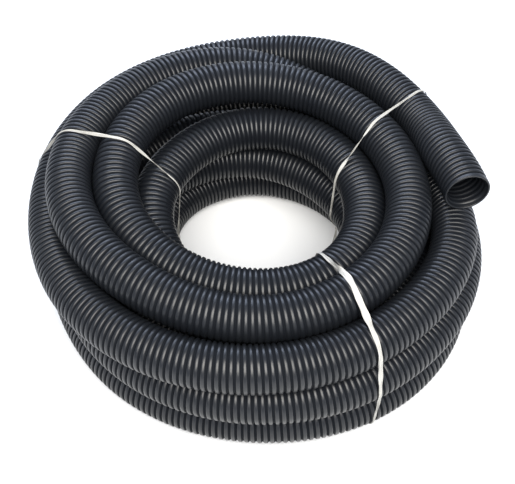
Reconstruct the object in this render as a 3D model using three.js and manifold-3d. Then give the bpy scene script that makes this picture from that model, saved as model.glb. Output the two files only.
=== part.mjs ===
// Pool vacuum hose, tied up as a storage coil.
// Millimetres, +Z up, standing on z = 0, with the Z axis through the middle of the object's box.
// The front of the object faces -Y, and the open free end lies at +X, on top.
import * as THREE from 'three';
import { mergeVertices } from 'three/addons/utils/BufferGeometryUtils.js';
import Module from 'manifold-3d';

const wasm = await Module();
wasm.setup();

// Driving dimensions
const HOSE_DIAMETER = 47; // over the ribs of the corrugated wall
const HOSE_BORE = 38; // a 1 1/2 inch hose
const EYE_X = -3.6; // middle of the eye, from the middle of the object's box
const EYE_Y = -26.0;
const WALL_GAP = 1.2; // the plain tube is this much thinner than the ribs, so that turns stay apart
const END_GAP = 0.4; // between the end faces of two lengths of the hose
const SIDES = 12; // of the hose's section
const STEP_ANGLE = 10; // degrees of winding for each step of a tube

const TAPE_WIDTH = 5;
const TAPE_THICKNESS = 0.6;
const TAPE_CLEARANCE = 1.4; // between a tape and the hose under it
const KNOT_RADIUS = 3.2;

const BLACK_PLASTIC = { color: 0x202226, roughness: 0.45, metalness: 0 };
const RAFFIA_WHITE = { color: 0xe9e7e1, roughness: 0.55, metalness: 0 };

// Winding -----------------------------------------------------------------------------------
// The route of the hose's middle line round the eye, from the free end inwards. Each station holds
// the winding angle in degrees (0 at +X, growing towards +Y), and the radius from the middle of
// the eye and the height in hose diameters.
// The four turns on top come first, then the three of the second layer and the two on the floor.
const STATIONS = [
  // free end, lying on the turn below it, and the outermost turn of the top layer
  [-4, 4.55, 3.46], [15, 4.33, 3.35], [30, 4.51, 3.1], [48, 4.77, 3.05], [68, 5.15, 2.86],
  [90, 5.29, 2.56], [135, 5.07, 2.4], [180, 4.49, 2.34], [225, 4.25, 2.57], [270, 4.13, 2.56],
  [315, 4.21, 2.52], [360, 4.37, 2.43], [383, 4.12, 2.21], [405, 4.05, 2.27], [428, 4.12, 2.58],
  // the ridge of the mound
  [450, 4.32, 2.92], [495, 4.36, 3.11], [540, 3.97, 3.22], [585, 3.38, 3.12], [630, 3.18, 2.89],
  [675, 3.28, 2.95], [720, 3.37, 3.0], [765, 3.4, 3.15], [810, 3.37, 3.35], [855, 3.32, 3.32],
  [900, 2.96, 3.07], [945, 2.42, 2.73],
  // round the eye, and down into the second layer
  [990, 2.2, 2.51], [1035, 2.38, 2.5], [1080, 2.49, 2.46], [1170, 2.66, 2.54], [1215, 2.42, 2.45],
  [1260, 2.26, 2.25], [1305, 2.03, 1.75], [1350, 2.1, 1.49], [1440, 2.51, 1.45], [1485, 2.52, 1.47],
  [1530, 2.7, 1.52], [1620, 2.95, 1.51],
  // outwards in the second layer
  [1710, 3.15, 1.51], [1800, 3.5, 1.45], [1845, 3.52, 1.38], [1890, 3.71, 1.5], [1980, 3.96, 1.5],
  [2070, 4.18, 1.54], [2115, 4.41, 1.53], [2160, 4.69, 1.46], [2205, 4.7, 1.34],
  [2250, 4.84, 1.34], [2295, 4.7, 1.03],
  // inwards along the floor, to the inner end
  [2318, 4.56, 0.7], [2340, 4.31, 0.53], [2362, 4.07, 0.5], [2385, 3.99, 0.5], [2430, 4.02, 0.5],
  [2475, 4.36, 0.5], [2520, 4.44, 0.5], [2565, 4.04, 0.5], [2610, 4.15, 0.5], [2655, 3.83, 0.5],
  [2700, 3.27, 0.5], [2745, 2.93, 0.5], [2790, 3.02, 0.5], [2880, 2.96, 0.5], [2970, 3.05, 0.5],
  [3015, 2.82, 0.5], [3060, 2.22, 0.5], [3105, 1.94, 0.5], [3155, 1.87, 0.5],
];

// A natural cubic spline through the points (at[i], values[i]): bends without a kink.
function smoothThrough(at, values) {
  const last = at.length - 1;
  const width = (i) => at[i + 1] - at[i];
  const slope = (i) => (values[i + 1] - values[i]) / width(i);
  const bend = new Array(last + 1).fill(0);
  const factor = [0];
  const rest = [0];
  for (let i = 1; i < last; i++) {
    const pivot = 2 * (width(i - 1) + width(i)) - width(i - 1) * factor[i - 1];
    factor[i] = width(i) / pivot;
    rest[i] = (6 * (slope(i) - slope(i - 1)) - width(i - 1) * rest[i - 1]) / pivot;
  }
  for (let i = last - 1; i > 0; i--) bend[i] = rest[i] - factor[i] * bend[i + 1];
  return (x) => {
    let i = 0;
    while (i < last - 1 && x > at[i + 1]) i++;
    const w = width(i);
    const a = (at[i + 1] - x) / w;
    const b = (x - at[i]) / w;
    const curved = ((a ** 3 - a) * bend[i] + (b ** 3 - b) * bend[i + 1]) * w * w / 6;
    return a * values[i] + b * values[i + 1] + curved;
  };
}

const angles = STATIONS.map((station) => station[0]);
const radiusAt = smoothThrough(angles, STATIONS.map((station) => station[1]));
const heightAt = smoothThrough(angles, STATIONS.map((station) => station[2]));
const FREE_MOUTH = angles[0];
const INNER_MOUTH = angles[angles.length - 1];

function routePoint(angle) {
  const turned = THREE.MathUtils.degToRad(angle);
  const radius = radiusAt(angle) * HOSE_DIAMETER;
  const height = Math.max(heightAt(angle), 0.5) * HOSE_DIAMETER;
  return new THREE.Vector3(radius * Math.cos(turned), radius * Math.sin(turned), height);
}

// Hose --------------------------------------------------------------------------------------
// One continuous corrugated hose. It is made in lengths of about one turn, which meet face to
// face: the two ends are open tubes, and the turns between them are plain solids.
class Length extends THREE.Curve {
  constructor(from, to) {
    super();
    this.from = from;
    this.to = to;
  }
  getPoint(t) {
    return routePoint(THREE.MathUtils.lerp(this.from, this.to, t));
  }
  // Steps of equal angle, so that the facets of turns that lie side by side line up.
  getPointAt(u) {
    return this.getPoint(u);
  }
  getTangentAt(u) {
    return this.getTangent(u);
  }
  // The section stays upright, so that the turns on the floor lie on a flat facet.
  computeFrenetFrames(steps) {
    const frames = { tangents: [], normals: [], binormals: [] };
    for (let i = 0; i <= steps; i++) {
      const tangent = this.getTangentAt(i / steps);
      const normal = new THREE.Vector3(0, 0, 1).addScaledVector(tangent, -tangent.z).normalize();
      frames.tangents.push(tangent);
      frames.normals.push(normal);
      frames.binormals.push(new THREE.Vector3().crossVectors(tangent, normal));
    }
    return frames;
  }
}

// A regular polygon with a flat at each side, top and bottom.
function polygon(radius) {
  return Array.from({ length: SIDES }, (_, i) => {
    const turned = (2 * Math.PI * (i + 0.5)) / SIDES;
    return new THREE.Vector2(radius * Math.cos(turned), radius * Math.sin(turned));
  });
}

const outerRadius = (HOSE_DIAMETER - WALL_GAP) / 2;
const blackPlastic = new THREE.MeshStandardMaterial({ name: 'black_plastic', ...BLACK_PLASTIC });

function hoseLength(name, from, to, open) {
  const section = new THREE.Shape(polygon(outerRadius));
  if (open) section.holes.push(new THREE.Path(polygon(HOSE_BORE / 2)));
  const trimAt = (angle) => THREE.MathUtils.radToDeg(END_GAP / 2 / (radiusAt(angle) * HOSE_DIAMETER));
  const start = from === FREE_MOUTH ? from : from + trimAt(from);
  const end = to === INNER_MOUTH ? to : to - trimAt(to);
  const geometry = new THREE.ExtrudeGeometry(section, {
    steps: Math.max(1, Math.round((to - from) / STEP_ANGLE)),
    extrudePath: new Length(start, end),
  });
  const mesh = new THREE.Mesh(geometry, blackPlastic);
  mesh.name = name;
  return mesh;
}

const FREE_END_TO = 50; // just past the tape that holds the free end down
const FIRST_JOIN = 305; // the turns meet under the front tape
const INNER_END_FROM = 3105;

function hose() {
  const group = new THREE.Group();
  group.add(hoseLength('hose_free_end', FREE_MOUTH, FREE_END_TO, true));
  let from = FREE_END_TO;
  let turn = 1;
  for (let to = FIRST_JOIN; to < INNER_END_FROM; to += 360) {
    group.add(hoseLength(`hose_turn_${turn}`, from, to, false));
    from = to;
    turn += 1;
  }
  group.add(hoseLength(`hose_turn_${turn}`, from, INNER_END_FROM, false));
  group.add(hoseLength('hose_inner_end', INNER_END_FROM, INNER_MOUTH, true));
  return group;
}

// Ties --------------------------------------------------------------------------------------
// Three loops of flat raffia tape round the bundle. Each lies in an upright plane, is pulled
// straight from one tube to the next, runs under the coil, and is knotted in the eye.
// `across` is the plane's direction in plan, and `near` a point of it in hose diameters.
const TIES = [
  { name: 'tie_front', near: [1.95, -2.75], across: -66.5, knotHeight: 1.3 },
  { name: 'tie_left', near: [-3.03, 1.15], across: 165, knotHeight: 0.75 },
  { name: 'tie_right', near: [2.76, 1.78], across: 44, knotHeight: 0.75 },
];
const ARC_POINTS = 24; // round each tube, to find the outline that the tape takes

function convexOutline(points) {
  const sorted = [...points].sort((a, b) => a.x - b.x || a.y - b.y);
  const turnsRight = (a, b, c) => (b.x - a.x) * (c.y - a.y) - (b.y - a.y) * (c.x - a.x) <= 1e-6;
  const chain = (list) => {
    const kept = [];
    for (const point of list) {
      while (kept.length > 1 && turnsRight(kept[kept.length - 2], kept[kept.length - 1], point)) {
        kept.pop();
      }
      kept.push(point);
    }
    return kept.slice(0, -1);
  };
  return [...chain(sorted), ...chain(sorted.reverse())];
}

// Where the hose's middle line passes through the tie's plane, as distance along it and height.
function crossings(origin, along, normal) {
  const found = [];
  for (let angle = FREE_MOUTH; angle < INNER_MOUTH; angle += 0.5) {
    const a = routePoint(angle).sub(origin);
    const b = routePoint(angle + 0.5).sub(origin);
    if (a.dot(normal) * b.dot(normal) > 0 || a.dot(along) < -HOSE_DIAMETER * 2.4) continue;
    const slant = Math.abs(b.clone().sub(a).setZ(0).normalize().dot(normal));
    found.push({ distance: a.dot(along), height: a.z, slant });
  }
  return found;
}

function outlineRound(tubes, radius, floor) {
  const points = [];
  for (const tube of tubes) {
    for (let i = 0; i < ARC_POINTS; i++) {
      const turned = (2 * Math.PI * i) / ARC_POINTS;
      const x = tube.distance + (radius / tube.slant) * Math.cos(turned);
      const y = Math.max(tube.height + radius * Math.sin(turned), floor);
      points.push(new THREE.Vector2(x, y));
    }
  }
  return convexOutline(points);
}

// How far in the eye side of a closed outline lies at a height.
function innerRunAt(outline, height) {
  const places = outline.map((a, i) => {
    const b = outline[(i + 1) % outline.length];
    if ((a.y - height) * (b.y - height) > 0) return Infinity;
    return a.x + ((b.x - a.x) * (height - a.y)) / (b.y - a.y);
  });
  return Math.min(...places);
}

function toManifold(geometry) {
  const plain = geometry.clone();
  plain.deleteAttribute('normal');
  plain.deleteAttribute('uv');
  const merged = mergeVertices(plain, 1e-4);
  return new wasm.Manifold(new wasm.Mesh({
    numProp: 3,
    vertProperties: new Float32Array(merged.attributes.position.array),
    triVerts: new Uint32Array(merged.index.array),
  }));
}

function fromManifold(solid) {
  const mesh = solid.getMesh();
  const geometry = new THREE.BufferGeometry();
  geometry.setAttribute('position', new THREE.BufferAttribute(mesh.vertProperties, 3));
  geometry.setIndex(new THREE.BufferAttribute(mesh.triVerts, 1));
  geometry.computeVertexNormals();
  return geometry;
}

const raffiaWhite = new THREE.MeshStandardMaterial({ name: 'raffia_white', ...RAFFIA_WHITE });

function tie({ name, near, across, knotHeight }) {
  const turned = THREE.MathUtils.degToRad(across);
  const origin = new THREE.Vector3(near[0] * HOSE_DIAMETER, near[1] * HOSE_DIAMETER, 0);
  const along = new THREE.Vector3(Math.cos(turned), Math.sin(turned), 0);
  const normal = new THREE.Vector3(along.y, -along.x, 0);
  const tubes = crossings(origin, along, normal);
  const inside = outlineRound(tubes, outerRadius + TAPE_CLEARANCE, TAPE_THICKNESS);
  const outside = outlineRound(tubes, outerRadius + TAPE_CLEARANCE + TAPE_THICKNESS, 0);
  const loop = new THREE.Shape(outside);
  loop.holes.push(new THREE.Path(inside));
  const band = new THREE.ExtrudeGeometry(loop, { depth: TAPE_WIDTH, bevelEnabled: false });
  band.translate(0, 0, -TAPE_WIDTH / 2);

  // The knot sits on the run of the tape that hangs in the eye, clear of the tubes behind it.
  const knot = new THREE.SphereGeometry(KNOT_RADIUS, 10, 8);
  knot.scale(0.8, 1.3, 1);
  const height = knotHeight * HOSE_DIAMETER;
  knot.translate(innerRunAt(outside, height) - KNOT_RADIUS / 2, height, 0);

  const mesh = new THREE.Mesh(fromManifold(toManifold(band).add(toManifold(knot))), raffiaWhite);
  mesh.name = name;
  mesh.matrix.makeBasis(along, new THREE.Vector3(0, 0, 1), normal).setPosition(origin);
  mesh.matrix.decompose(mesh.position, mesh.quaternion, mesh.scale);
  return mesh;
}

const group = new THREE.Group();
group.add(hose());
for (const settings of TIES) group.add(tie(settings));
group.position.set(EYE_X, EYE_Y, 0);

export default group;
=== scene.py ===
"""A pool vacuum hose, wound up and tied as a storage coil, on a pale studio floor."""
import math

import bmesh
import bpy
import numpy as np
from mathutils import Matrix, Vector
from mathutils.geometry import convex_hull_2d


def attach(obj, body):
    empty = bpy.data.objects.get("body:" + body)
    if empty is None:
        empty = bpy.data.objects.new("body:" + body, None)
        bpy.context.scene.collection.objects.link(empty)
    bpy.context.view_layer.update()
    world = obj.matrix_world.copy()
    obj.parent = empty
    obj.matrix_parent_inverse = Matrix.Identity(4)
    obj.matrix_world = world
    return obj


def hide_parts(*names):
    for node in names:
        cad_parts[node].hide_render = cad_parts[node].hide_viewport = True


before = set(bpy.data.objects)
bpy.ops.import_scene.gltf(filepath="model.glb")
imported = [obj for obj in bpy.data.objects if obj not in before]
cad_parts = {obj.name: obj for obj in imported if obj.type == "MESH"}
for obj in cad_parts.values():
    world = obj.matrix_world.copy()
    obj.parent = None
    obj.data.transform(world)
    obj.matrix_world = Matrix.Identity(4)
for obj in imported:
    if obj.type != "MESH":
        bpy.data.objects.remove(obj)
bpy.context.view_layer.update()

# Camera ------------------------------------------------------------------------------------
# It stands in front of the coil and looks down into its eye at about fifty degrees.
CAMERA_AT = Vector((-0.0036, -0.7222, 0.8944))
AIM = Vector((0.0008, -0.0260, 0.0708))
LENS_MM = 70.2

lens = bpy.data.cameras.new("camera")
lens.lens = LENS_MM
lens.sensor_width = 36
camera = bpy.data.objects.new("camera", lens)
camera.location = CAMERA_AT
camera.rotation_euler = (AIM - CAMERA_AT).to_track_quat("-Z", "Y").to_euler()
bpy.context.scene.collection.objects.link(camera)
bpy.context.scene.camera = camera

# Route of the hose -------------------------------------------------------------------------
# One hose of about 9.06 m, wound by hand in three layers round an open eye. The line through its
# middle goes from the open free end on top, through the layers, to the inner end on the floor.
HOSE_DIAMETER = 0.047
EYE_X = -0.0036
EYE_Y = -0.0260
ROUTE_POINTS = 12001  # less than a millimetre apart
# Winding angle round the eye in degrees, 0 at +X and growing towards +Y, and the radius from the
# middle of the eye and the height in hose diameters.
STATIONS = [
    # free end, lying on the turn below it, and the outermost turn of the top layer
    (-4, 4.55, 3.46), (15, 4.33, 3.35), (30, 4.51, 3.1), (48, 4.77, 3.05), (68, 5.15, 2.86),
    (90, 5.29, 2.56), (135, 5.07, 2.4), (180, 4.49, 2.34), (225, 4.25, 2.57), (270, 4.13, 2.56),
    (315, 4.21, 2.52), (360, 4.37, 2.43), (383, 4.12, 2.21), (405, 4.05, 2.27), (428, 4.12, 2.58),
    # the ridge of the mound
    (450, 4.32, 2.92), (495, 4.36, 3.11), (540, 3.97, 3.22), (585, 3.38, 3.12), (630, 3.18, 2.89),
    (675, 3.28, 2.95), (720, 3.37, 3.0), (765, 3.4, 3.15), (810, 3.37, 3.35), (855, 3.32, 3.32),
    (900, 2.96, 3.07), (945, 2.42, 2.73),
    # round the eye, and down into the second layer
    (990, 2.2, 2.51), (1035, 2.38, 2.5), (1080, 2.49, 2.46), (1170, 2.66, 2.54),
    (1215, 2.42, 2.45), (1260, 2.26, 2.25), (1305, 2.03, 1.75), (1350, 2.1, 1.49),
    (1440, 2.51, 1.45), (1485, 2.52, 1.47), (1530, 2.7, 1.52), (1620, 2.95, 1.51),
    # outwards in the second layer
    (1710, 3.15, 1.51), (1800, 3.5, 1.45), (1845, 3.52, 1.38), (1890, 3.71, 1.5),
    (1980, 3.96, 1.5), (2070, 4.18, 1.54), (2115, 4.41, 1.53), (2160, 4.69, 1.46),
    (2205, 4.7, 1.34), (2250, 4.84, 1.34), (2295, 4.7, 1.03),
    # inwards along the floor, to the inner end
    (2318, 4.56, 0.7), (2340, 4.31, 0.53), (2362, 4.07, 0.5), (2385, 3.99, 0.5),
    (2430, 4.02, 0.5), (2475, 4.36, 0.5), (2520, 4.44, 0.5), (2565, 4.04, 0.5), (2610, 4.15, 0.5),
    (2655, 3.83, 0.5), (2700, 3.27, 0.5), (2745, 2.93, 0.5), (2790, 3.02, 0.5),
    (2880, 2.96, 0.5), (2970, 3.05, 0.5), (3015, 2.82, 0.5), (3060, 2.22, 0.5),
    (3105, 1.94, 0.5), (3155, 1.87, 0.5),
]


def smooth_through(at, values):
    """A natural cubic spline through the points, as a function that takes an array."""
    at = np.array(at, float)
    values = np.array(values, float)
    width = np.diff(at)
    slope = np.diff(values) / width
    system = np.eye(len(at))
    wanted = np.zeros(len(at))
    for i in range(1, len(at) - 1):
        system[i, i - 1 : i + 2] = width[i - 1], 2 * (width[i - 1] + width[i]), width[i]
        wanted[i] = 6 * (slope[i] - slope[i - 1])
    bend = np.linalg.solve(system, wanted)

    def value(x):
        i = np.clip(np.searchsorted(at, x) - 1, 0, len(width) - 1)
        a = (at[i + 1] - x) / width[i]
        b = (x - at[i]) / width[i]
        curved = ((a**3 - a) * bend[i] + (b**3 - b) * bend[i + 1]) * width[i] ** 2 / 6
        return a * values[i] + b * values[i + 1] + curved

    return value


radius_at, height_at = (
    smooth_through([s[0] for s in STATIONS], [s[k] for s in STATIONS]) for k in (1, 2)
)
route_angles = np.linspace(STATIONS[0][0], STATIONS[-1][0], ROUTE_POINTS)
turned = np.radians(route_angles)
route_radius = radius_at(route_angles) * HOSE_DIAMETER
route = np.stack(
    [
        EYE_X + route_radius * np.cos(turned),
        EYE_Y + route_radius * np.sin(turned),
        np.maximum(height_at(route_angles), 0.5) * HOSE_DIAMETER,
    ],
    axis=1,
)
route_steps = np.linalg.norm(np.diff(route, axis=0), axis=1)
route_lengths = np.concatenate([[0], np.cumsum(route_steps)])
HOSE_LENGTH = route_lengths[-1]
route_directions = np.gradient(route, route_lengths, axis=0)
route_directions /= np.linalg.norm(route_directions, axis=1)[:, None]


def along_route(lengths, table):
    """The table's rows at these lengths from the free end."""
    return np.stack([np.interp(lengths, route_lengths, column) for column in table.T], axis=-1)


# Hose --------------------------------------------------------------------------------------
# Blow-moulded black polyethylene. One flat-topped rib winds round the wall as a screw thread, with
# a pitch of an eighth of the hose's diameter. The hose is one continuous piece with two cut, open
# ends. It is made here in lengths that meet inside the groove, where the front tie covers them.
BORE = 0.038  # 1 1/2 inch
PITCH = HOSE_DIAMETER / 8
RIB_HEIGHT = 0.0018
BORE_RIPPLE = 0.0009  # the same thread, felt on the inside
FLARE = 0.0024  # the bore is this much wider in radius at a mouth, where the wall is thin
FLARE_DEPTH = 0.009
BORE_DEPTH = 0.20  # of the free end
INNER_END_SHARE = 3  # the bore of the hidden inner end is a third as deep
SIDES = 36
# Depth below the top of the rib, as a share of its height, from one groove to the next.
RIB_SHAPE = [1.0, 0.9, 0.16, 0.01, 0.0, 0.01, 0.16, 0.9]
PER_PITCH = len(RIB_SHAPE)
ROW = PITCH / PER_PITCH
LIP_FROM = 0.0010  # the rounded lip of a cut end starts this far from its face
LIP_ROUND = 0.0007
THREAD_STARTS = PITCH / 1.6  # the thread reaches its full depth this far from a cut
NEAR_CUT = 0.3 * ROW  # points nearer to a cut than this are drawn on to it
SEAM_ANGLES = [305 + 360 * turn for turn in range(8)]
CREASE = 75  # degrees, from which an edge is sharp
CORD_STEP = 0.008


def wall_points(lengths, around, radii):
    """Points at these lengths from the free end, these angles round the section, and these radii."""
    inside = np.clip(lengths, 0, HOSE_LENGTH)
    middle = along_route(inside, route)
    ahead = along_route(inside, route_directions)
    ahead /= np.linalg.norm(ahead, axis=-1)[..., None]
    middle = middle + ahead * (lengths - inside)[..., None]
    up = np.array([0, 0, 1.0]) - ahead * ahead[..., 2:]
    up /= np.linalg.norm(up, axis=-1)[..., None]
    side = np.cross(ahead, up)
    outward = up * np.cos(around)[..., None] + side * np.sin(around)[..., None]
    return middle + outward * radii[..., None]


class Shell:
    """Collects the points, faces and rib heights of one closed mesh."""

    def __init__(self):
        self.points = []
        self.heights = []
        self.faces = []
        self.count = 0

    def add_points(self, points, heights):
        first = self.count
        self.points.append(points.reshape(-1, 3))
        self.heights.append(np.broadcast_to(heights, points.shape[:-1]).reshape(-1))
        self.count += len(self.points[-1])
        return np.arange(first, self.count).reshape(points.shape[:-1])

    def add_faces(self, quads):
        for quad in quads.tolist():
            corners = [v for k, v in enumerate(quad) if v != quad[k - 1]]
            if len(corners) > 2:
                self.faces.append(corners)

    def wall(self, first_row, last_row, radius, ripple, ends):
        """One side of the wall, in rows that follow the thread. Its radius falls by ripple in the
        groove, and ripple is below zero in the bore, which flares at a mouth. ends holds the
        lengths where a cut stops the wall, or None where it stops in the groove. Returns its two
        edges, as closed loops."""
        rows = np.arange(first_row, last_row + PER_PITCH + 1)
        columns = np.arange(SIDES)
        lengths = (rows[:, None] + PER_PITCH * columns / SIDES) * ROW
        around = np.broadcast_to(2 * np.pi * columns / SIDES, lengths.shape)
        depth = np.array(RIB_SHAPE)[rows % PER_PITCH][:, None] * np.ones(SIDES)
        near_cut = np.minimum(lengths, HOSE_LENGTH - lengths) - LIP_FROM
        fade = np.clip(near_cut / THREAD_STARTS, 0, 1)
        depth = depth * fade * fade * (3 - 2 * fade)
        flare = FLARE if ripple < 0 else 0
        radii = radius - ripple * depth + flare * np.clip(1 - near_cut / FLARE_DEPTH, 0, 1) ** 2
        points = wall_points(lengths, around, radii)
        ids = self.add_points(points, 1 - depth)
        loops = []
        for cut, sign in zip(ends, (1, -1)):
            if cut is None:
                row = 0 if sign == 1 else last_row - first_row
                step = ids[row + PER_PITCH : row : -1, 0]
                loops.append(np.concatenate([ids[row], step]))
                continue
            ring = self.ring(cut, radius + flare)
            beyond = sign * (lengths - cut) < NEAR_CUT
            ids = np.where(beyond, ring[None, :], ids)
            loops.append(ring)
        here = ids[: last_row - first_row + 1]
        wrapped = ids[PER_PITCH:, :1]
        beside = np.concatenate([here[:, 1:], wrapped[: len(here)]], axis=1)
        quads = np.stack([here[:-1], beside[:-1], beside[1:], here[1:]], axis=-1)
        self.add_faces(quads.reshape(-1, 4))
        return loops

    def ring(self, length, radius):
        """Adds a plain ring of points round the middle line."""
        around = 2 * np.pi * np.arange(SIDES) / SIDES
        lengths = np.full(SIDES, float(length))
        return self.add_points(wall_points(lengths, around, np.full(SIDES, radius)), 1.0)

    def join(self, ring, other):
        """Adds the faces between two rings."""
        quads = np.stack([ring, np.roll(ring, -1), np.roll(other, -1), other], axis=-1)
        self.add_faces(quads)

    def close(self, loop, length):
        """Closes an edge with a fan of faces to the middle line."""
        middle = self.add_points(wall_points(np.array([length]), np.zeros(1), np.zeros(1)), 0.0)[0]
        for k, v in enumerate(loop.tolist()):
            self.faces.append([loop[k - 1].item(), v, middle.item()])

    def make(self, name, material):
        """The object, with each point's rib height for its material."""
        points = np.concatenate(self.points)
        heights = np.concatenate(self.heights)
        used = np.zeros(len(points), bool)
        for face in self.faces:
            used[face] = True
        new_ids = np.cumsum(used) - 1
        mesh = bpy.data.meshes.new(name)
        faces = [[int(new_ids[v]) for v in face] for face in self.faces]
        mesh.from_pydata(points[used].tolist(), [], faces)
        solid = bmesh.new()
        solid.from_mesh(mesh)
        bmesh.ops.recalc_face_normals(solid, faces=solid.faces)
        solid.to_mesh(mesh)
        solid.free()
        mesh.shade_smooth()
        mesh.set_sharp_from_angle(angle=math.radians(CREASE))
        rib = mesh.attributes.new("rib_height", "FLOAT", "POINT")
        rib.data.foreach_set("value", heights[used].astype(np.float32))
        mesh.materials.append(material)
        piece = bpy.data.objects.new(name, mesh)
        bpy.context.scene.collection.objects.link(piece)
        return piece


def lip(shell, outer_ring, inner_ring, face_at, sign):
    """The rounded edge of a cut end, from the outside of the wall round to the bore."""
    previous = outer_ring
    outer = HOSE_DIAMETER / 2
    inner = BORE / 2 + FLARE
    turns = np.radians([0, 30, 60, 90])
    for turn in turns:
        back = LIP_ROUND * (1 - math.sin(turn))
        ring = shell.ring(face_at + sign * back, outer - LIP_ROUND * (1 - math.cos(turn)))
        shell.join(previous, ring)
        previous = ring
    for turn in turns[::-1]:
        back = LIP_ROUND * (1 - math.sin(turn))
        ring = shell.ring(face_at + sign * back, inner + LIP_ROUND * (1 - math.cos(turn)))
        shell.join(previous, ring)
        previous = ring
    shell.join(previous, inner_ring)


def linear(hex_colour):
    """An sRGB colour as a linear one."""
    parts = [int(hex_colour[k : k + 2], 16) / 255 for k in (1, 3, 5)]
    return [p / 12.92 if p <= 0.04045 else ((p + 0.055) / 1.055) ** 2.4 for p in parts] + [1]


def add_node(tree, kind, inputs=None, **settings):
    """A node with these settings. Each input is a value, or another node's output to link."""
    made = tree.nodes.new(kind)
    for name, value in settings.items():
        setattr(made, name, value)
    for socket, value in (inputs or {}).items():
        if isinstance(value, bpy.types.NodeSocket):
            tree.links.new(value, made.inputs[socket])
        else:
            made.inputs[socket].default_value = value
    return made


def new_material(name):
    """A new material, its nodes, and its Principled node."""
    material = bpy.data.materials.new(name)
    material.use_nodes = True
    return material, material.node_tree, material.node_tree.nodes["Principled BSDF"]


# Black polyethylene as it comes from the mould: a waxy half gloss that gives each rib a soft
# streak of light, more or less sharp in patches a few centimetres wide. Painted shade darkens the
# grooves, the tops of the ribs are painted a little paler, more so in some patches than in others,
# and the grooves stay matt, so that dark lines divide the streaks.
POLYETHYLENE_BLACK = "#0c0f14"
POLYETHYLENE_RIB_TOP_PAINTED_PALER = "#121417"
POLYETHYLENE_IOR = 1.51
MATT = 0.8
BLOTCH = 0.030
GRAIN = 0.0007  # of the mould, coarser than the real one, so that it shows
GRAIN_RELIEF = 0.0002

polyethylene, tree, surface = new_material("moulded_polyethylene")
place = add_node(tree, "ShaderNodeTexCoord").outputs["Object"]
rib = add_node(tree, "ShaderNodeAttribute", attribute_name="rib_height").outputs["Fac"]
blotches = add_node(
    tree, "ShaderNodeTexNoise", {"Vector": place, "Scale": 1 / BLOTCH, "Detail": 4.0}
)
# Painted shade: the colour is darker in the grooves and paler on the tops of the ribs, by rib height
# and a noise.
painted_rib_top_share = add_node(
    tree, "ShaderNodeMath", {0: rib, 1: blotches.outputs["Fac"]}, operation="MULTIPLY"
)
colour = add_node(
    tree,
    "ShaderNodeMix",
    {
        "Factor": painted_rib_top_share.outputs[0],
        "A": linear(POLYETHYLENE_BLACK),
        "B": linear(POLYETHYLENE_RIB_TOP_PAINTED_PALER),
    },
    data_type="RGBA",
)
gloss = add_node(
    tree,
    "ShaderNodeMapRange",
    {
        "Value": blotches.outputs["Fac"],
        "From Min": 0.3,
        "From Max": 0.7,
        "To Min": 0.31,
        "To Max": 0.41,
    },
)
polish = add_node(tree, "ShaderNodeMapRange", {"Value": rib, "From Min": 0.5, "From Max": 0.85})
roughness = add_node(
    tree,
    "ShaderNodeMix",
    {"Factor": polish.outputs[0], "A": MATT, "B": gloss.outputs[0]},
)
sheen = add_node(
    tree,
    "ShaderNodeMapRange",
    {"Value": polish.outputs[0], "To Min": 0.1, "To Max": 0.44},
)
grain = add_node(tree, "ShaderNodeTexNoise", {"Vector": place, "Scale": 1 / GRAIN, "Detail": 2.0})
relief = add_node(
    tree,
    "ShaderNodeBump",
    {"Height": grain.outputs["Fac"], "Strength": 0.12, "Distance": GRAIN_RELIEF},
)
surface.inputs["IOR"].default_value = POLYETHYLENE_IOR
tree.links.new(colour.outputs["Result"], surface.inputs["Base Color"])
tree.links.new(roughness.outputs["Result"], surface.inputs["Roughness"])
tree.links.new(sheen.outputs[0], surface.inputs["Specular IOR Level"])
tree.links.new(relief.outputs[0], surface.inputs["Normal"])

seam_lengths = np.interp(SEAM_ANGLES, route_angles, route_lengths)
seam_rows = [round(length / PITCH) * PER_PITCH for length in seam_lengths]
last_row = math.ceil(HOSE_LENGTH / ROW) + 1
first_rows = [-2 * PER_PITCH, *seam_rows]
last_rows = [*seam_rows, last_row]
for number, (first, last) in enumerate(zip(first_rows, last_rows), start=1):
    at_free_end = number == 1
    at_inner_end = number == len(first_rows)
    shell = Shell()
    cuts = (LIP_FROM if at_free_end else None, HOSE_LENGTH - LIP_FROM if at_inner_end else None)
    start_loop, end_loop = shell.wall(first, last, HOSE_DIAMETER / 2, RIB_HEIGHT, cuts)
    depth_rows = round(BORE_DEPTH / PITCH) * PER_PITCH
    if at_free_end:
        bore_loop, bore_end = shell.wall(
            first, depth_rows, BORE / 2, -BORE_RIPPLE, (LIP_FROM, None)
        )
        lip(shell, start_loop, bore_loop, 0.0, 1)
        shell.close(bore_end, (depth_rows + PER_PITCH / 2) * ROW)
    else:
        shell.close(start_loop, (first + PER_PITCH / 2) * ROW)
    if at_inner_end:
        bore_from = (math.floor(HOSE_LENGTH / PITCH) * PER_PITCH) - depth_rows // INNER_END_SHARE
        bore_end, bore_loop = shell.wall(
            bore_from, last, BORE / 2, -BORE_RIPPLE, (None, HOSE_LENGTH - LIP_FROM)
        )
        lip(shell, end_loop, bore_loop, HOSE_LENGTH, -1)
        shell.close(bore_end, (bore_from + PER_PITCH / 2) * ROW)
    else:
        shell.close(end_loop, (last + PER_PITCH / 2) * ROW)
    piece = shell.make(f"hose_length_{number}", polyethylene)
    nodes = [f"hose_turn_{number}"]
    if at_free_end:
        nodes.append("hose_free_end")
    if at_inner_end:
        nodes.append("hose_inner_end")
    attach(piece, "root")
    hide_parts(*nodes)
    start = 0.0 if at_free_end else first * ROW
    end = HOSE_LENGTH if at_inner_end else last * ROW
    path = along_route(np.linspace(start, end, round((end - start) / CORD_STEP)), route)
    if at_free_end:
        path = path[::-1]

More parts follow.
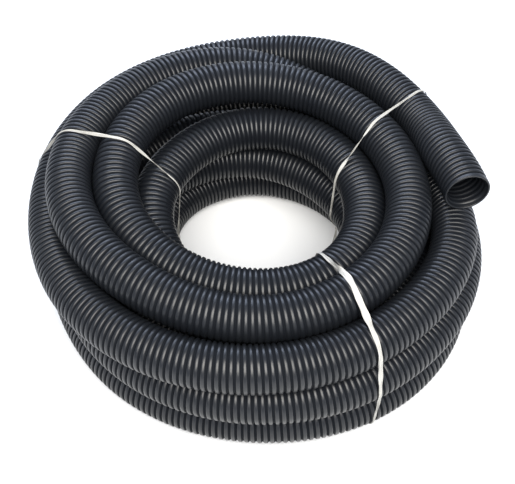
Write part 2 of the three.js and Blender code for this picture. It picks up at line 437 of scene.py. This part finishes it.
# Ties --------------------------------------------------------------------------------------
# Three loops of flat white raffia hold the turns together. Each goes round the bundle in an
# upright plane, pulled straight from one tube to the next, bunched and twisted where it hangs
# free, and knotted on its run through the eye.
UPRIGHT = np.array([0, 0, 1.0])
TAPE_LIFT = 0.0007  # from the ribs or the floor to the middle of the film
TAPE_STEP = 0.0025
TAPE_COLUMNS = 9
FILM = 0.00025  # thickness of the bunched film
PLEAT = 0.0003
FIBRE = 0.00035  # between streaks of the split film, which are drawn out to STREAK along it
STREAK = 0.02
FREE_AT = 0.004  # with this much room under it the tape twists freely
FAR_SIDE = -2.4 * HOSE_DIAMETER  # tubes beyond this lie on the other side of the eye
KNOT = 0.0011
TAIL = 0.022
TAIL_WIDTH = 0.0017
FILM_CREASE = 60  # degrees, from which an edge is sharp
RAFFIA_LIGHT = "#bcbbb6"
RAFFIA_SHADED = "#878681"
POLYPROPYLENE_IOR = 1.49
# A point of the plane in hose diameters from the eye, its direction in plan, the knot's height in
# hose diameters, and the widths in mm at even steps from the knot up, over the top and back under.
TIES = {
    "tie_front": ((1.95, -2.75), -66.5, 1.3, [2.0, 2.0, 4.6, 6.4, 5.4, 4.0, 2.4, 2.2, 3.0, 2.4]),
    "tie_left": ((-3.03, 1.15), 165, 0.75, [1.6, 1.7, 2.4, 3.2, 2.6, 3.0, 2.4, 2.2, 3.0, 2.0]),
    "tie_right": ((2.76, 1.78), 44, 0.75, [1.5, 1.7, 3.4, 3.0, 2.2, 2.4, 2.6, 2.2, 3.0, 1.8]),
}

# Split polypropylene film: fine lengthwise fibres catch the light as streaks, painted sheen in its
# colour, and the thin film lets a little through.
raffia, tree, surface = new_material("split_film_raffia")
over_tape = add_node(tree, "ShaderNodeAttribute", attribute_name="over_tape")
fibres = add_node(
    tree,
    "ShaderNodeTexNoise",
    {"Vector": over_tape.outputs["Vector"], "Scale": 1.0, "Detail": 3.0},
)
streaks = add_node(
    tree,
    "ShaderNodeMapRange",
    {"Value": fibres.outputs["Fac"], "From Min": 0.35, "From Max": 0.65},
)
# Painted sheen: a lit and a shaded tone of the film, mixed in streaks along the fibres by a noise.
colour = add_node(
    tree,
    "ShaderNodeMix",
    {
        "Factor": streaks.outputs[0],
        "A": linear(RAFFIA_SHADED),
        "B": linear(RAFFIA_LIGHT),
    },
    data_type="RGBA",
)
creases = add_node(
    tree,
    "ShaderNodeBump",
    {"Height": fibres.outputs["Fac"], "Strength": 0.5, "Distance": 0.0003},
)
surface.inputs["IOR"].default_value = POLYPROPYLENE_IOR
surface.inputs["Roughness"].default_value = 0.42
surface.inputs["Subsurface Weight"].default_value = 0.15
surface.inputs["Subsurface Radius"].default_value = (0.002, 0.002, 0.002)
tree.links.new(colour.outputs["Result"], surface.inputs["Base Color"])
tree.links.new(creases.outputs[0], surface.inputs["Normal"])


def tape_loop(near, across, knot_height):
    """The tape's middle line as distance from the plane's point and height, from the knot up and
    outwards, with the room that it has under it. Also the plane's point and two directions."""
    turned = math.radians(across)
    along = np.array([math.cos(turned), math.sin(turned), 0])
    normal = np.array([along[1], -along[0], 0])
    point = np.array([EYE_X + near[0] * HOSE_DIAMETER, EYE_Y + near[1] * HOSE_DIAMETER, 0])
    beyond = (route - point) @ normal
    distance = (route - point) @ along
    crossed = (beyond[:-1] * beyond[1:] <= 0) & (distance[:-1] > FAR_SIDE)
    tubes = []
    around = np.linspace(0, 2 * np.pi, 96, endpoint=False)
    rim = []
    for k in np.nonzero(crossed)[0]:
        flat = route_directions[k] * (1, 1, 0)
        stretch = np.linalg.norm(flat) / abs(flat @ normal)
        reach = HOSE_DIAMETER / 2 + TAPE_LIFT
        x = distance[k] + reach * stretch * np.cos(around)
        z = np.maximum(route[k, 2] + reach * np.sin(around), TAPE_LIFT)
        rim.append(np.stack([x, z], axis=1))
        tubes.append((distance[k], route[k, 2], stretch))
    rim = np.concatenate(rim)
    corners = rim[convex_hull_2d([Vector(corner) for corner in rim])]
    corners = np.concatenate([corners, corners[:1]])[::-1]
    lengths = np.concatenate([[0], np.cumsum(np.linalg.norm(np.diff(corners, axis=0), axis=1))])
    steps = np.linspace(0, lengths[-1], round(lengths[-1] / TAPE_STEP), endpoint=False)
    loop = np.stack([np.interp(steps, lengths, column) for column in corners.T], axis=1)
    on_inside = np.where(loop[:, 0] < np.median(loop[:, 0]), 0, 1)
    start = np.argmin(abs(loop[:, 1] - knot_height * HOSE_DIAMETER) + on_inside)
    loop = np.roll(loop, -start, axis=0)
    room = np.full(len(loop), 1.0)
    for x, z, stretch in tubes:
        apart = np.hypot((loop[:, 0] - x) / stretch, loop[:, 1] - z) - HOSE_DIAMETER / 2
        room = np.minimum(room, np.minimum(apart, loop[:, 1]))
    return loop, room, point, along, normal


def add_sections(parts, sections, over_tape, closed):
    """Adds a solid through closed sections, with where each point lies on the film."""
    points, faces, places = parts
    rows, columns = sections.shape[:2]
    first = sum(len(p) for p in points)
    ids = first + np.arange(rows * columns).reshape(rows, columns)
    points.append(sections.reshape(-1, 3))
    places.append(over_tape.reshape(-1, 3))
    ahead = np.roll(ids, -1, axis=0)
    if not closed:
        faces.extend([ids[0].tolist(), ids[-1][::-1].tolist()])
        ids, ahead = ids[:-1], ahead[:-1]
    beside = np.roll(ids, -1, axis=1)
    quads = np.stack([ids, beside, np.roll(ahead, -1, axis=1), ahead], axis=-1)
    faces.extend(quads.reshape(-1, 4).tolist())


def film_sections(middle, side, out, widths, twist, room, seed):
    """Sections of the pleated film, which keeps off what is under it, and the place of each point
    along and across it."""
    across = np.linspace(-1, 1, TAPE_COLUMNS)
    run = np.arange(len(middle)) * TAPE_STEP
    waves = 3 * np.pi * across + 2.2 * np.sin(run / 0.031 + seed)[:, None]
    pleats = PLEAT * np.cos(waves) * np.sin(np.pi * (across + 1) / 2) ** 0.5
    flat = across * widths[:, None] / 2
    sideways = flat * np.cos(twist)[:, None] - pleats * np.sin(twist)[:, None]
    outwards = flat * np.sin(twist)[:, None] + pleats * np.cos(twist)[:, None]
    lowest = FILM - np.maximum(room, TAPE_LIFT)[:, None]
    outwards = np.maximum(outwards, lowest)
    halves = []
    for sign in (1, -1):
        lifted = outwards + sign * FILM / 2
        section = side[:, None] * sideways[..., None] + out[:, None] * lifted[..., None]
        halves.append((middle[:, None] + section)[:, ::sign])
    along = np.broadcast_to(run[:, None] / STREAK, flat.shape)
    place = np.stack([flat / FIBRE, along, np.full(flat.shape, float(seed))], axis=-1)
    return np.concatenate(halves, axis=1), np.concatenate([place, place[:, ::-1]], axis=1)


def knot_sections(knot_at, side, out):
    """Round sections of an overhand knot, a trefoil of bunched tape."""
    t = np.linspace(0, 2 * np.pi, 48, endpoint=False)
    line = np.stack(
        [np.sin(t) + 2 * np.sin(2 * t), np.cos(t) - 2 * np.cos(2 * t), -np.sin(3 * t)], axis=1
    )
    heading = np.roll(line, -1, axis=0) - np.roll(line, 1, axis=0)
    heading /= np.linalg.norm(heading, axis=1)[:, None]
    across = np.cross(heading, (0, 0, 1.0))
    across /= np.linalg.norm(across, axis=1)[:, None]
    over = np.cross(heading, across)
    around = np.linspace(0, 2 * np.pi, 10, endpoint=False)[:, None]
    section = (across[:, None] * np.cos(around) + over[:, None] * np.sin(around)) * 0.85
    sections = (line[:, None] + section) * KNOT / 2
    return (
        knot_at + sections[..., :1] * side + sections[..., 1:2] * UPRIGHT + sections[..., 2:] * out
    )


def tail_sections(knot_at, side, out, lean, seed):
    """Sections of a short curling tail that hangs from the knot and leans to one side."""
    drop = np.arange(0, TAIL * (1 - 0.3 * lean), TAPE_STEP)
    sag = 0.15 * drop + 2.0 * drop**2
    middle = knot_at - UPRIGHT * drop[:, None] + (side * lean + out * 0.5) * sag[:, None]
    return film_sections(
        middle,
        np.broadcast_to(side, middle.shape),
        np.broadcast_to(out, middle.shape),
        np.full(len(drop), TAIL_WIDTH),
        0.8 * np.sin(drop / 0.006 + seed) + lean,
        np.full(len(drop), 0.01),
        seed + lean,
    )


for seed, (name, (near, across, knot_height, widths)) in enumerate(TIES.items()):
    loop, room, point, along, normal = tape_loop(near, across, knot_height)
    middle = point + loop[:, :1] * along + loop[:, 1:] * UPRIGHT
    ahead = np.roll(middle, -1, axis=0) - np.roll(middle, 1, axis=0)
    ahead /= np.linalg.norm(ahead, axis=1)[:, None]
    side = np.broadcast_to(normal, ahead.shape)
    out = np.cross(ahead, side)
    if out[np.argmax(middle[:, 2]), 2] < 0:
        out = -out
    # The width wavers along the tape, and the twist dies out where the tape lies on a tube.
    share = np.arange(len(middle)) / len(middle)
    width_steps = np.arange(len(widths) + 1) / len(widths)
    width = np.interp(share, width_steps, [*widths, widths[0]]) / 1000
    turns = 2 * np.pi * share
    width *= 1 + 0.14 * np.sin(9 * turns + seed) + 0.08 * np.sin(23 * turns + 2 * seed)
    free = np.clip(room / FREE_AT, 0, 1)
    twist = free * (1.1 * np.sin(3 * turns + 1.7 * seed) + 0.5 * np.sin(8 * turns + seed))
    parts = ([], [], [])
    add_sections(parts, *film_sections(middle, side, out, width, twist, room, seed), True)
    knot_at = middle[0] + out[0] * KNOT * 0.9
    knot = knot_sections(knot_at, normal, out[0])
    add_sections(parts, knot, knot / 0.001, True)
    for lean in (-0.5, 0.35):
        add_sections(parts, *tail_sections(knot_at, normal, out[0], lean, seed), False)
    points, faces, places = parts
    mesh = bpy.data.meshes.new(name)
    mesh.from_pydata(np.concatenate(points).tolist(), [], faces)
    solid = bmesh.new()
    solid.from_mesh(mesh)
    bmesh.ops.recalc_face_normals(solid, faces=solid.faces)
    solid.to_mesh(mesh)
    solid.free()
    mesh.shade_smooth()
    mesh.set_sharp_from_angle(angle=math.radians(FILM_CREASE))
    place = mesh.attributes.new("over_tape", "FLOAT_VECTOR", "POINT")
    place.data.foreach_set("vector", np.concatenate(places).astype(np.float32).reshape(-1))
    mesh.materials.append(raffia)
    tie = bpy.data.objects.new(f"{name}_tape", mesh)
    bpy.context.scene.collection.objects.link(tie)
    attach(tie, "root")
    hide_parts(name)

# Studio ------------------------------------------------------------------------------------
# A plain pale floor, a large soft light above and before the coil, and a cooler one behind it.
FLOOR_SIDE = 80
FLOOR_DROP = 0.0002  # just under the coil
FLOOR_WHITE = "#dcdee0"

white_floor, tree, surface = new_material("white_backdrop_paper")
surface.inputs["Base Color"].default_value = linear(FLOOR_WHITE)
surface.inputs["Roughness"].default_value = 0.9
floor_mesh = bpy.data.meshes.new("floor")
reach = FLOOR_SIDE / 2
corners = [(-reach, -reach, 0), (reach, -reach, 0), (reach, reach, 0), (-reach, reach, 0)]
floor_mesh.from_pydata(corners, [], [(0, 1, 2, 3)])
floor_mesh.materials.append(white_floor)
floor = bpy.data.objects.new("floor", floor_mesh)
floor.location.z = -FLOOR_DROP
bpy.context.scene.collection.objects.link(floor)

world = bpy.data.worlds.new("studio")
world.use_nodes = True
world.node_tree.nodes["Background"].inputs["Color"].default_value = linear("#d9e4f8")
world.node_tree.nodes["Background"].inputs["Strength"].default_value = 0.8
bpy.context.scene.world = world


def soft_light(name, at, size, watts, colour):
    """A rectangular soft light that faces the coil."""
    light = bpy.data.lights.new(name, "AREA")
    light.shape = "RECTANGLE"
    light.size, light.size_y = size
    light.energy = watts
    light.color = linear(colour)[:3]
    lamp = bpy.data.objects.new(name, light)
    lamp.location = at
    lamp.rotation_euler = (Vector((0, 0, 0.08)) - lamp.location).to_track_quat("-Z", "Y").to_euler()
    bpy.context.scene.collection.objects.link(lamp)


soft_light("front_soft_light", Vector((0.1, -1.05, 1.65)), (2.0, 1.4), 96, "#fffaf2")
soft_light("back_soft_light", Vector((-0.3, 1.7, 1.5)), (2.0, 1.0), 42, "#dbe7ff")

bpy.context.scene.view_settings.view_transform = "Standard"
